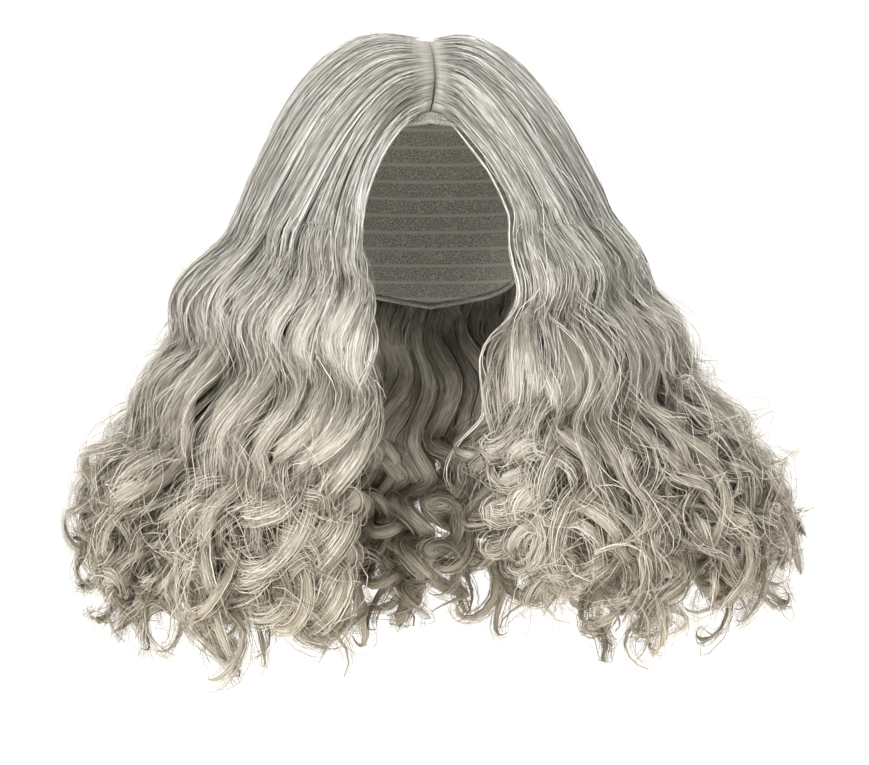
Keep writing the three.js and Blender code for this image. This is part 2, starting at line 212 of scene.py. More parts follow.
class Side:
    """One side of the hair. Across runs from the face edge (0) to the middle of the back (1), and flow
    from the parting (0) over the ears (1) to the lowest curl (2)."""

    def __init__(self, name, sign, reach, dome_width, dome_squareness, face_inset, shade, locks):
        self.sign = sign
        self.face_inset = face_inset
        # shade is painted shade: how much darker this side's hair is painted high up; towards the ends it
        # is painted half as much lighter.
        self.shade = shade
        self.reach = reach
        self.dome_width = dome_width
        self.dome_squareness = dome_squareness
        self.locks = locks
        self.borders = np.array([lock["start"] for lock in locks] + [1.0])
        self.read = {key: reader(OUTLINE, "level", key) for key in ("front", "back", "spread")}
        self.read["side"] = reader(OUTLINE, "level", name)
        self.read["edge"] = reader(OUTLINE, "level", "edge_" + name)
        self.phase = reader(locks, "start", "phase")

    def ring(self, level, outside):
        """Half-widths and squareness of the hair's inner or outer surface."""
        if outside:
            return (
                self.read["side"](level) * self.reach,
                self.read["front"](level) * REACH_FRONT,
                self.read["back"](level) * REACH_BACK,
                2.0,
            )
        spread = self.read["spread"](level)
        inner_side = HEAD_WIDTH / 2 + CAP_WALL + CAP_CLEARANCE
        inner_back = HEAD_LENGTH / 2 + CAP_WALL + CAP_CLEARANCE
        return (
            lerp(inner_side, SHOULDER_HALF_WIDTH, spread),
            inner_back + 0 * spread,
            lerp(inner_back, SHOULDER_BACK, spread),
            HEAD_SQUARENESS,
        )

    def turn(self, level, across, half_width, squareness):
        """The turn about the head at a place across the hair."""
        edge = self.read["edge"](level) * HEAD_WIDTH / 2
        first = np.arcsin(np.clip(edge / half_width, 0, 1) ** (squareness / 2))
        last = math.pi - np.arcsin(np.clip(PARTING_GAP / 2 / half_width, 0, 1) ** (squareness / 2))
        return lerp(first, last, across)

    def hanging_point(self, level, across, outside):
        half_width, front, back, squareness = self.ring(level, outside)
        turn = self.turn(level, across, half_width, squareness)
        power = 2 / squareness
        depth = np.where(np.cos(turn) > 0, front, back)
        x = self.sign * half_width * signed_power(np.sin(turn), power)
        y = -depth * signed_power(np.cos(turn), power)
        z = -lerp(CROWN_HEIGHT, HAIR_DROP, level)
        return np.stack(np.broadcast_arrays(x, y, z), -1)

    def crown_point(self, along, across, outside):
        half_width, front, back, squareness = self.ring(0.0, outside)
        if outside:
            spread = lerp(self.dome_width, half_width, along**2)
            height = CROWN_HEIGHT + CROWN_LOFT
            square = lerp(self.dome_squareness, squareness, along)
        else:
            spread = half_width + 0 * along
            height = CROWN_HEIGHT + CAP_WALL + CAP_CLEARANCE
            square = squareness + 0 * along
        part = np.radians(lerp(PARTING_FRONT, PARTING_BACK, across))
        sine = (PARTING_GAP / 2 / spread) ** (square / 2)
        root = unit(np.stack(np.broadcast_arrays(sine, -np.sin(part), np.cos(part)), -1))
        turn = self.turn(0.0, across, half_width, squareness)
        foot = np.stack(np.broadcast_arrays(np.sin(turn), -np.cos(turn), 0 * along), -1)
        angle = np.arccos(np.clip((root * foot).sum(-1), -1, 1))[..., None]
        t = np.asarray(along)[..., None]
        direction = (np.sin((1 - t) * angle) * root + np.sin(t * angle) * foot) / np.sin(angle)
        lift = np.sin(np.pi * np.clip(along, 0, 1)) ** FOREHEAD_FULLNESS
        near_face = np.clip(1 - across, 0, 1.2) ** FOREHEAD_REACH
        direction[..., 0] += FOREHEAD_ARCH * lift * near_face
        direction = unit(direction)
        power = 2 / square
        length = np.where(direction[..., 1] < 0, front, back)
        x = self.sign * spread * signed_power(direction[..., 0], power)
        y = length * signed_power(direction[..., 1], power)
        z = height * signed_power(direction[..., 2], power) - CROWN_HEIGHT
        if outside:
            shift = lerp(PARTING_SHIFT_TOP, PARTING_SHIFT_FRONT, smoothstep(-y, 0, HEAD_LENGTH / 2))
            x = x + shift * (1 - along) ** 2
        return np.stack(np.broadcast_arrays(x, y, z), -1)

    def depth_share(self, across, amount):
        """How deep the hair is: thinner beside the face and hollowed at the borders of the locks."""
        inside = np.clip(across, 0, 1)
        i = np.clip(np.searchsorted(self.borders, inside, side="right") - 1, 0, len(self.locks) - 1)
        within = (inside - self.borders[i]) / (self.borders[i + 1] - self.borders[i])
        groove = amount * GROOVE_DEPTH * (2 * within - 1) ** 2
        return lerp(FACE_EDGE_DEPTH, 1, smoothstep(inside, 0, FACE_THINNING)) * (1 - groove)

    def point(self, flow, across, depth):
        """A point of the hair. Depth is 0 on the head's side and 1 on the outside."""
        flow, across, depth = np.broadcast_arrays(*(np.asarray(v, float) for v in (flow, across, depth)))
        along = np.clip(flow, 0, 1)
        level = np.clip(flow - 1, 0, 1.1)
        share = lerp(PARTING_DIP, 1, smoothstep(along, 0, PARTING_EASE)) * self.depth_share(across, along)
        on_crown = (flow < 1)[..., None]

        def surface(outside):
            crown = self.crown_point(along, across, outside)
            return np.where(on_crown, crown, self.hanging_point(level, across, outside))

        inner, outer = surface(False), surface(True)
        return inner + (outer - inner) * (depth * share)[..., None]

    def set_back(self, flow, across):
        """Across with the face edge drawn back beside the eyes and the cheek."""
        beside_cheek = smoothstep(flow, 0.15, 0.65) * (1 - smoothstep(flow, 1.1, 1.42))
        return across + self.face_inset * beside_cheek * (1 - smoothstep(across, 0.02, 0.16))

    def axes(self, flow, across, depth):
        """Unit vectors across the hair (away from the face), out of it, and along its fall."""
        step = 1e-3
        above = np.maximum(flow - step, 0)
        side = unit(self.point(flow, across + step, depth) - self.point(flow, across - step, depth))
        out = unit(self.point(flow, across, depth + 0.1) - self.point(flow, across, depth - 0.1))
        down = unit(self.point(flow + step, across, depth) - self.point(above, across, depth))
        out = unit(out - along_axis(out, down))
        side = unit(side - along_axis(side, down) - along_axis(side, out))
        return side, out, down


# Painted shade: the right side's hair is painted darker high up and lighter towards the ends.
SIDES = {
    "left": Side("left", sign=-1, reach=REACH_LEFT, dome_width=128 * MM, dome_squareness=2.3,
                 face_inset=0.0, shade=0.0, locks=LOCKS_LEFT),
    "right": Side("right", sign=1, reach=REACH_RIGHT, dome_width=110 * MM, dome_squareness=2.0,
                  face_inset=0.03, shade=0.13, locks=LOCKS_RIGHT),
}


def drawn_in(points):
    """Hair that strays out of the CAD model's box is drawn in softly, so that none goes past the margin."""
    low, high = (np.array(corner) for corner in CAD_BOX)
    margin = 0.9 * (0.03 * (high - low) + 10 * MM)
    over = np.maximum(points - high, 0)
    under = np.maximum(low - points, 0)
    soft = lambda past: margin * (1 - np.exp(-past / margin))
    return points - over + soft(over) + under - soft(under)


class HairMesh:
    """Gathers ribbons, tubes and sheets of hair, and makes one mesh of them with a tone for each vertex
    and a UV map in metres: U across a fibre bundle and V along it."""

    def __init__(self):
        self.points = []
        self.faces = []
        self.tones = []
        self.maps = []
        self.count = 0

    def grid(self, points, tone, u, v, closed=False):
        """Sheets of quads. points is (sheets, rows, columns, 3), rows run along the hair."""
        sheets, rows, columns, _ = points.shape
        number = np.arange(sheets * rows * columns).reshape(sheets, rows, columns) + self.count
        here = number if closed else number[:, :, :-1]
        beside = np.roll(number, -1, axis=2) if closed else number[:, :, 1:]
        quads = np.stack([here[:, :-1], beside[:, :-1], beside[:, 1:], here[:, 1:]], -1)
        self.faces.append(quads.reshape(-1, 4))
        if closed:
            low = np.arange(columns // 2 - 1)
            ends = np.stack([low, low + 1, columns - 2 - low, columns - 1 - low], -1)
            self.faces.append(number[:, 0][:, ends[:, ::-1]].reshape(-1, 4))
            self.faces.append(number[:, -1][:, ends].reshape(-1, 4))
        self.points.append(points.reshape(-1, 3))
        shape = (sheets, rows, columns)
        self.tones.append(np.broadcast_to(tone, shape).reshape(-1))
        place = [np.broadcast_to(u, shape), np.broadcast_to(v, shape)]
        self.maps.append(np.stack(place, -1).reshape(-1, 2))
        self.count += sheets * rows * columns

    def ribbons(self, middle, normal, width, tone, u):
        """Flat fibres. middle and normal are (ribbons, rows, 3), width and tone are (ribbons, rows) and u
        is (ribbons,)."""
        tangent = unit(np.gradient(middle, axis=1))
        side = unit(np.cross(tangent, normal))
        half = side * width[..., None] / 2
        points = np.stack([middle - half, middle + half], 2)
        length = np.linalg.norm(np.diff(middle, axis=1, prepend=middle[:, :1]), axis=-1).cumsum(1)
        across = u[:, None, None] + np.array([-0.5, 0.5]) * width[..., None]
        self.grid(points, tone[..., None], across, length[..., None])

    def make(self, name, material):
        points = drawn_in(np.concatenate(self.points))
        faces = np.concatenate(self.faces)
        mesh = bpy.data.meshes.new(name)
        mesh.vertices.add(len(points))
        mesh.vertices.foreach_set("co", points.astype(np.float32).ravel())
        mesh.loops.add(faces.size)
        mesh.loops.foreach_set("vertex_index", faces.astype(np.int32).ravel())
        mesh.polygons.add(len(faces))
        mesh.polygons.foreach_set("loop_start", np.arange(0, faces.size, 4, dtype=np.int32))
        mesh.update(calc_edges=True)
        mesh.shade_smooth()
        tone = mesh.attributes.new("tone", "FLOAT", "POINT")
        tone.data.foreach_set("value", np.concatenate(self.tones).astype(np.float32))
        layer = mesh.uv_layers.new(name="Fibre")
        layer.uv.foreach_set("vector", np.concatenate(self.maps)[faces.ravel()].astype(np.float32).ravel())
        mesh.validate()
        piece = bpy.data.objects.new(name, mesh)
        bpy.context.scene.collection.objects.link(piece)
        mesh.materials.append(material)
        return piece


def softened(path, reach):
    """A path with its corners rounded off over so many places."""
    weight = np.hanning(2 * reach + 3)[1:-1]
    padded = np.pad(path, ((reach, reach), (0, 0)), mode="edge")
    return np.stack([np.convolve(padded[:, k], weight / weight.sum(), mode="valid") for k in range(3)], -1)


class Bundle:
    """The path of one bundle of hair: its middle line with a sideways and an outward direction. Pace says
    how far along its rows a place is, with more rows where it bends more."""

    PLACES = 400

    def __init__(self, side, across, depth, start, end, hair, rng, wave=1.0, drift=0.0, root_depth=None,
                 out_by=1.0, style=None, full=None):
        style = style or curl_style(hair, rng)
        flow = np.linspace(start, end, self.PLACES)
        level = flow - 1
        grown = smoothstep(level, -0.12, 0.28)
        tail = smoothstep(flow, end - 0.48, end - 0.2) * smoothstep(level, 0, 0.3)
        length = lerp(hair.wave_length, style["length"], tail)
        turned = np.concatenate([[0], np.cumsum(np.diff(flow) * HANG / length[1:] * 2 * math.pi)])
        turned -= np.interp(1.0, flow, turned)
        place = across + drift * smoothstep(flow, start, end)
        place = side.set_back(flow, place)
        root_depth = depth * 0.72 if root_depth is None else root_depth
        depths = lerp(root_depth, depth, smoothstep(flow, out_by - 0.3, out_by))
        # The outer hair stands off a little where it leaves the head.
        stand_off = smoothstep(level, -0.3, 0.02) * (1 - smoothstep(level, 0.12, 0.42))
        depths = depths + 0.12 * stand_off * smoothstep(depth, 0.5, 0.75)
        base = side.point(flow, place, depths)
        base = softened(base, int(0.13 / (end - start) * self.PLACES))
        e_side, e_out, e_down = side.axes(flow, place, np.full(self.PLACES, depth))
        loose = style["phase"] + rng.normal(0, 0.35) + rng.normal(0, 0.8) * tail
        phase = turned + math.radians(float(side.phase(np.clip(across, 0, 1)))) + loose
        beside_face = 0.45 + 0.55 * smoothstep(across, 0.02, 0.13)
        height = hair.wave_height * wave * rng.uniform(0.75, 1.25) * grown
        across_height = lerp(height * beside_face, style["radius"], tail)
        depth_height = lerp(height * 0.8, style["radius"] * style["hand"], tail)
        swing, bulge = across_height * np.sin(phase), depth_height * np.cos(phase)
        # At the ends the plane of the curl tips over, about a level axis towards the heading.
        tip = math.radians(style["roll"] + rng.normal(0, 12)) * tail
        kept, c, s = 1 - np.cos(tip), math.cos(style["heading"]), math.sin(style["heading"])
        shift_side = swing * (1 - kept + c * c * kept) + bulge * c * s * kept
        shift_out = swing * c * s * kept + bulge * (1 - kept + s * s * kept) + style["fluff"] * tail
        shift_down = (bulge * c - swing * s) * np.sin(tip)
        self.middle = (
            base + e_side * shift_side[:, None] + e_out * shift_out[:, None] + e_down * shift_down[:, None]
        )
        run = unit(np.gradient(self.middle, axis=0))
        self.side = unit(np.cross(e_out, run))
        self.out = np.cross(run, self.side)
        self.still_side, self.still_out = e_side, e_out
        self.flow = flow
        self.start = start
        self.end = end
        self.full = max(start + 0.25, 1.2) if full is None else full
        # Painted highlight and shade in the tone: crests that face the light are painted lighter and
        # hollows darker. Painted shade: one side of the parting is painted darker high up and lighter
        # towards the ends.
        self.light = hair.painted_crest_highlight * grown * np.cos(phase - 0.6)
        self.light -= side.shade * smoothstep(flow, 0.35, 0.9) * (1 - 1.5 * smoothstep(flow, 1.25, 1.7))
        self.tail = tail
        bend = np.arccos(np.clip((run[1:] * run[:-1]).sum(-1), -1, 1))
        step = np.linalg.norm(np.diff(self.middle, axis=0), axis=-1)
        effort = np.concatenate([[0], np.cumsum(bend + step / (55 * MM))])
        self.pace = effort / effort[-1]

    def place(self, share):
        """The values of the path at shares of its pace, as a function."""
        index = np.interp(share, self.pace, np.arange(len(self.pace)))
        low = np.clip(index.astype(int), 0, len(self.pace) - 2)
        t = (index - low)[..., None]
        return lambda values: values[low] * (1 - t) + values[low + 1] * t

    def size(self, flow, root=0.4, tip=0.62):
        """How thick the bundle is along its length, as a share."""
        opened = smoothstep(flow, self.start, self.full)
        closed = smoothstep(flow, self.end - 0.45, self.end - 0.1)
        return lerp(root, 1, opened) * lerp(1, tip, closed)

    def strands(self, mesh, rows, count, width, half_width, half_depth, hair, rng, tone, facing,
                loose=1.0, uneven=0.09, still=False, painted_root_shade=0.15):
        """Fine ribbons of fibre laid round the bundle, of which a few stray far from it. Still ones keep
        their places beside each other through a curl."""
        stop = 1 - uneven * rng.random(count) ** 1.5
        begin = rng.uniform(0, 0.05, count)
        share = begin[:, None] + (stop - begin)[:, None] * np.linspace(0, 1, rows)
        at = self.place(share)
        size = self.size(at(self.flow[:, None])[..., 0])
        angle = math.pi * rng.uniform(*facing, count)[:, None] + rng.normal(0, 0.5) * share
        radius = rng.uniform(0.88, 1.15, count)[:, None] * size
        reach = hair.wander * loose * np.minimum(rng.lognormal(0, 0.7, count), 2.6)[:, None]
        reach = reach * smoothstep(share, -0.05, 0.25) * (1 + 1.1 * at(self.tail[:, None])[..., 0])

        def wander():
            total = 0
            for k in (1, 2.2):
                speed, start = rng.uniform(1.3, 3.4, count)[:, None] * k, rng.random(count)[:, None]
                swing = np.sin(2 * math.pi * (share * speed + start))
                total = total + rng.normal(0, k**-1.4, count)[:, None] * swing
            return total * reach

        side, out = at(self.still_side if still else self.side), at(self.still_out if still else self.out)
        side_offset = half_width * radius * np.cos(angle) + wander()
        out_offset = half_depth * radius * np.sin(angle) + np.abs(wander()) * 0.6
        middle = at(self.middle) + side * side_offset[..., None] + out * out_offset[..., None]
        normal = side * (np.cos(angle) / half_width)[..., None]
        normal = normal + out * (np.sin(angle) / half_depth)[..., None]
        taper = smoothstep(share, begin[:, None] - 0.02, 0.06)
        taper = taper * (1 - 0.8 * smoothstep(share, 0.8 * stop[:, None], 1))
        widths = width * rng.uniform(0.65, 1.5, count)[:, None] * np.maximum(taper, 0.2)
        # Each ribbon's tone takes the painted highlight and shade of its path.
        tones = tone + rng.normal(0, hair.tone_spread, count)[:, None] + at(self.light[:, None])[..., 0]
        # Painted shade: each ribbon is painted darker near its root.
        tones -= painted_root_shade * (1 - smoothstep(share, 0.02, 0.2))
        mesh.ribbons(middle, unit(normal), widths, np.clip(tones, 0, 1), rng.uniform(0, 1, count))

    def core(self, mesh, rows, half_width, half_depth, tone, rng, sides=6):
        """The closed body of the bundle under its ribbons."""
        turn = 2 * math.pi * np.arange(sides) / sides
        share = np.linspace(0, 0.97, rows)
        at = self.place(share)
        middle = at(self.middle)
        size = self.size(at(self.flow[:, None])[..., 0]) * (1 - 0.9 * smoothstep(share, 0.72, 0.97) ** 1.5)
        size = size * lerp(0.1, 1, smoothstep(share, 0, 0.12)) * (1 - 0.3 * at(self.tail[:, None])[..., 0])
        size = size[:, None, None]
        # The core's tone takes the painted highlight and shade of its path too.
        tone = np.clip(tone + at(self.light[:, None])[..., 0], 0, 1)[None, :, None]
        ring = at(self.side)[:, None] * (half_width * np.cos(turn))[None, :, None]
        ring = ring + at(self.out)[:, None] * (half_depth * np.sin(turn))[None, :, None]
        points = middle[:, None] + ring * size
        length = np.linalg.norm(np.diff(middle, axis=0, prepend=middle[:1]), axis=-1).cumsum()
        u = rng.uniform(0, 1) + turn * (half_width + half_depth) / 2
        mesh.grid(points[None], tone, u[None, None], length[None, :, None], closed=True)


def curl_style(hair, rng):
    """How the end of a bundle curls: the length and radius of a turn, how far its plane tips over and
    towards which heading, its hand and how far it fluffs out."""
    return dict(
        length=hair.curl_length * rng.uniform(0.85, 1.3),
        radius=hair.curl_radius * rng.uniform(0.8, 1.15),
        roll=rng.uniform(20, 85),
        heading=rng.uniform(0, 2 * math.pi),
        hand=rng.choice([-1.0, 1.0]),
        phase=rng.normal(0, 0.3),
        fluff=rng.uniform(-3, 13) * MM,
    )


def below_cap(across):
    """The level at which the cap's rim ends above this place."""
    hang = lerp(HAIRLINE_DROP, NAPE_DROP, float(reader(RIM, "azimuth", "hang")(lerp(35, 180, across))))
    return max(hang - CROWN_HEIGHT, 0) / HANG


def lock_piece(side, row, to, hair, finish, seed):
    """One hanging lock: a heart painted dark as shade inside it, bundles outside and towards the head,
    veils of loose strands, and ringlets that fill the ends."""
    rng = np.random.default_rng(seed)
    mesh = HairMesh()
    kind = FILL[row["name"].split("_")[0]]
    first, lock_width = row["start"], to - row["start"]
    edge = (0.02 if side.sign < 0 else 0.04) if first == 0 else 0

    def across_at(share):
        return first + edge + (lock_width - edge) * share

    # Heart, a closed core painted dark (tone 0.2) as shade deep in the lock
    heart_end = row["end"] - 0.24
    levels = np.linspace(-0.06, heart_end, 24)
    places = across_at(np.array([0.06, 0.3, 0.5, 0.7, 0.94]))
    outline = np.concatenate([places, places[::-1]])
    depths = np.concatenate([np.full(5, 0.72), np.full(5, 0.3)])
    heart = side.point(1 + levels[:, None], outline[None], depths[None])
    size = 1 - 0.75 * smoothstep(levels, row["end"] - 0.5, heart_end)[:, None, None]
    centre = heart.mean(1, keepdims=True)
    heart = centre + (heart - centre) * size + side_swing(side, levels, (first + to) / 2, hair)[:, None]
    if side.sign > 0:
        heart = heart[:, ::-1]
    round_heart = np.arange(len(outline)) * 10 * MM
    mesh.grid(heart[None], 0.2, round_heart[None, None], (levels * HANG)[None, :, None], closed=True)
    # Bundles
    rows = hair.rows
    for outer, number in ((True, kind["outer"]), (False, kind["inner"])):
        for k in range(number):
            across = across_at((k + 0.5 + rng.uniform(-0.25, 0.25)) / number)
            depth = rng.uniform(0.78, 0.94) if outer else rng.uniform(0.08, 0.3)
            root = rng.uniform(-0.45, -0.15) if outer else below_cap(across) - rng.uniform(0.08, 0.14)
            end = 1 + row["end"] - rng.uniform(0, 0.13) - (0 if outer else 0.05)
            bundle = Bundle(side, across, depth, 1 + root, end, hair, rng, wave=1 if outer else 0.7,
                            drift=rng.normal(0, 0.012), root_depth=None if outer else 0.55,
                            out_by=rng.uniform(0.98, 1.35) if outer else 1.15 + below_cap(across))
            half_width = hair.bundle_width / 2 * rng.uniform(0.75, 1.25) * (1 if outer else 0.85)
            half_depth = half_width * rng.uniform(0.4, 0.6)
            # Painted shade: bundles towards the head are painted darker than the outer ones, and each core
            # a little darker than its ribbons.
            tone = rng.normal(0.63 if outer else 0.38, 0.08)
            bundle.core(mesh, rows, half_width, half_depth, tone - 0.05, rng)
            facing = (-0.2, 1.2) if outer else (0.75, 2.25)
            count = kind["ribbons"] if outer else kind["inner_ribbons"]
            bundle.strands(mesh, rows, count, hair.ribbon_width, half_width, half_depth, hair, rng, tone,
                           facing)
    # Veils
    spread = (12 if first == 0 else 27) * MM
    for _ in range(kind["veils"]):
        across = across_at(rng.uniform(0.15, 0.85))
        end = 1 + row["end"] - rng.uniform(0, 0.22)
        style = curl_style(hair, rng)
        style["radius"] *= 0.6
        veil = Bundle(side, across, rng.uniform(0.93, 1.0), 1 - rng.uniform(0.1, 0.25), end, hair, rng,
                      drift=rng.normal(0, 0.02), root_depth=0.6, out_by=rng.uniform(1.15, 1.6), style=style)
        veil.strands(mesh, rows, hair.veil_strands, hair.ribbon_width * 0.8, spread, 6 * MM, hair, rng, 0.6,
                     (0, 1), loose=1.7, uneven=0.4, still=True, painted_root_shade=0.3)
        veil.strands(mesh, rows, hair.flyaways, hair.flyaway_width, spread, 20 * MM, hair, rng, 0.75,
                     (0, 1), loose=2.6, uneven=0.5, still=True, painted_root_shade=0.3)
    # Ringlets
    rows = hair.ringlet_rows
    for _ in range(kind["ringlets"]):
        across = across_at(rng.uniform(0.1, 0.9))
        end = 1 + row["end"] - rng.uniform(-0.05, 0.12)
        ringlet = Bundle(side, across, rng.uniform(0.45, 1.0), end - 0.5, end, hair, rng, root_depth=0.35,
                         out_by=end - 0.15)
        half_width = hair.bundle_width / 2 * rng.uniform(0.55, 0.85)
        tone = rng.normal(0.57, 0.08)
        # Painted shade: the ringlet's core is painted a little darker than its ribbons.
        ringlet.core(mesh, rows, half_width * 0.8, half_width * 0.4, tone - 0.05, rng)
        ringlet.strands(mesh, rows, hair.ringlet_ribbons, hair.ribbon_width, half_width, half_width * 0.5,
                        hair, rng, tone, (0, 2))
        ringlet.strands(mesh, rows, hair.ringlet_flyaways, hair.flyaway_width, half_width * 2,
                        half_width * 1.6, hair, rng, 0.7, (0, 2), loose=1.4, uneven=0.3)
    piece = mesh.make(row["name"].replace("_lock", "_curls"), finish)
    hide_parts(row["name"])
    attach(piece, "root")


def side_swing(side, levels, across, hair):
    """The sideways wave of a whole lock, as vectors."""
    phase = 2 * math.pi * levels * HANG / hair.wave_length + math.radians(float(side.phase(across)))
    height = hair.wave_height * smoothstep(levels, -0.2, 0.2)
    e_side, _, _ = side.axes(1 + levels, np.full_like(levels, across), np.full_like(levels, 0.5))
    return e_side * (height * np.sin(phase))[:, None]


def crown_piece(side, node, hair, finish, seed):
    """The combed hair of one side of the parting: a closed under-layer painted dark as shade between the
    clumps, and clumps of fibre that fan out from the parting."""
    rng = np.random.default_rng(seed)
    mesh = HairMesh()
    along = np.linspace(0, 1.12, 34)
    places = np.linspace(0.02, 1, 54)
    outer_places = side.set_back(along[:, None], places[None])
    outer_depth = lerp(0.92, 0.08, smoothstep(along, 0.88, 1.12))
    outer = side.point(along[:, None], outer_places, outer_depth[:, None])
    inner = side.point(along[:, None], outer_places[:, ::-1], 0.02)
    shell = np.concatenate([outer, inner], 1)
    if side.sign > 0:
        shell = shell[:, ::-1]
    u = np.concatenate([places, places[::-1]]) * 0.35
    # Painted shade: the under-layer is painted dark, so the gaps between the clumps look shaded.
    mesh.grid(shell[None], 0.33, u[None, None], (along * 0.2)[None, :, None], closed=True)
    combed = dict(length=hair.wave_length, radius=hair.wave_height, roll=0, heading=0, hand=0.5, phase=0,
                  fluff=0)
    rows = hair.crown_rows
    for k in range(hair.crown_clumps):
        across = lerp(-0.022, 1.012, (k + rng.uniform(0, 1)) / hair.crown_clumps)
        depth = rng.uniform(0.975, 1.03)
        end = 1 + rng.uniform(0.12, 0.7)
        clear_of_face = max(0.025 - across, 0)
        drift = rng.normal(0, 0.008) + clear_of_face
        bundle = Bundle(side, across, depth, 0.0, end, hair, rng, drift=drift, root_depth=depth - 0.02,
                        full=0.25, style=combed)
        half_width = rng.uniform(3, 8) * MM
        tone = rng.normal(0.59, 0.09) + 0.07 * math.sin(19 * math.pi * across + seed)
        bundle.strands(mesh, rows, hair.crown_ribbons, hair.ribbon_width * 1.3, half_width, 1.8 * MM, hair,
                       rng, tone, (0, 1), loose=0.5, uneven=0.5, painted_root_shade=0.25)
        bundle.strands(mesh, rows, 1, hair.flyaway_width, half_width, 4 * MM, hair, rng, 0.8, (0, 1),
                       loose=2)
    piece = mesh.make(node.replace("crown", "crown_hair"), finish)
    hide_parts(node)
    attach(piece, "root")


def add_node(tree, kind, values=None, links=None, **settings):
    """Adds a shader node with its settings, input values and incoming links."""
    node = tree.nodes.new(kind)
    for key, value in settings.items():
        setattr(node, key, value)
    for key, value in (values or {}).items():
        node.inputs[key].default_value = value
    for key, socket in (links or {}).items():
        tree.links.new(socket, node.inputs[key])
    return node


def calculate(tree, operation, *terms):
    """Adds a math node whose terms are numbers or sockets, and returns its result."""
    node = add_node(tree, "ShaderNodeMath", operation=operation)
    for number, term in enumerate(terms):
        if isinstance(term, bpy.types.NodeSocket):
            tree.links.new(term, node.inputs[number])
        else:
            node.inputs[number].default_value = term
    return node.outputs[0]


def drawn_noise(tree, place, width, length, detail, roughness):
    """Noise in patches of that width and length, drawn out along the fibre."""
    drawn = add_node(tree, "ShaderNodeMapping", {"Scale": (1 / width, 1 / length, 1)},
                     {"Vector": place.outputs[0]})
    noise = add_node(tree, "ShaderNodeTexNoise", {"Scale": 1, "Detail": detail, "Roughness": roughness},
                     {"Vector": drawn.outputs[0]})
    return noise.outputs[0]


def new_material(name):
    material = bpy.data.materials.new(name)
    material.use_nodes = True
    material.node_tree.nodes.clear()
    return material, material.node_tree


def modacrylic_fibre(name, colours, warmth, roughness):
    """Modacrylic wig fibre, spun fine and heat-set in waves: satin strands that catch the light at each
    crest, partly by their gloss and partly by highlights painted into the tone, of mixed silver, ash and
    near-white tones, a little warmer towards the ends. The tone also carries painted shade in the hollows,
    at the roots and deep in the locks."""
    material, tree = new_material(name)
    tone = add_node(tree, "ShaderNodeAttribute", attribute_name="tone")
    place = add_node(tree, "ShaderNodeUVMap", uv_map="Fibre")
    # Real fibres are 0.08 mm thick; the streaks are drawn 0.6 mm apart so that they show.
    streak = drawn_noise(tree, place, width=0.6 * MM, length=14 * MM, detail=2, roughness=0.6)
    patch = drawn_noise(tree, place, width=4 * MM, length=60 * MM, detail=1, roughness=0.5)
    shade = calculate(tree, "MULTIPLY_ADD", streak, 1.8, -0.9)
    drift = calculate(tree, "MULTIPLY_ADD", patch, 0.8, -0.4)
    mixed = calculate(tree, "ADD", tone.outputs["Fac"], calculate(tree, "ADD", shade, drift))
    ramp = add_node(tree, "ShaderNodeValToRGB", {}, {0: mixed})
    stops = ramp.color_ramp.elements
    stops[0].position, stops[0].color = 0.0, (*colours[0], 1)
    stops[1].position, stops[1].color = 1.0, (*colours[3], 1)
    for position, colour in ((0.33, colours[1]), (0.62, colours[2])):
        stops.new(position).color = (*colour, 1)
    where = add_node(tree, "ShaderNodeTexCoord")
    height = add_node(tree, "ShaderNodeSeparateXYZ", {}, {0: where.outputs["Object"]})
    lower = add_node(tree, "ShaderNodeMapRange", {"From Min": -0.1, "From Max": -0.42},
                     {"Value": height.outputs[2]})
    tinted = add_node(tree, "ShaderNodeMix", {7: (*warmth, 1)}, {0: lower.outputs[0], 6: ramp.outputs[0]},
                      data_type="RGBA", blend_type="MULTIPLY")
    bump = add_node(tree, "ShaderNodeBump", {"Strength": 0.8, "Distance": 0.7 * MM}, {"Height": streak})
    tangent = add_node(tree, "ShaderNodeTangent", direction_type="UV_MAP", uv_map="Fibre")
    shader = add_node(
        tree,
        "ShaderNodeBsdfPrincipled",
        {"Roughness": roughness, "IOR": 1.55, "Anisotropic": 0.65},
        {"Base Color": tinted.outputs[2], "Normal": bump.outputs[0], "Tangent": tangent.outputs[0]},
    )
    add_node(tree, "ShaderNodeOutputMaterial", {}, {"Surface": shader.outputs[0]})
    return material


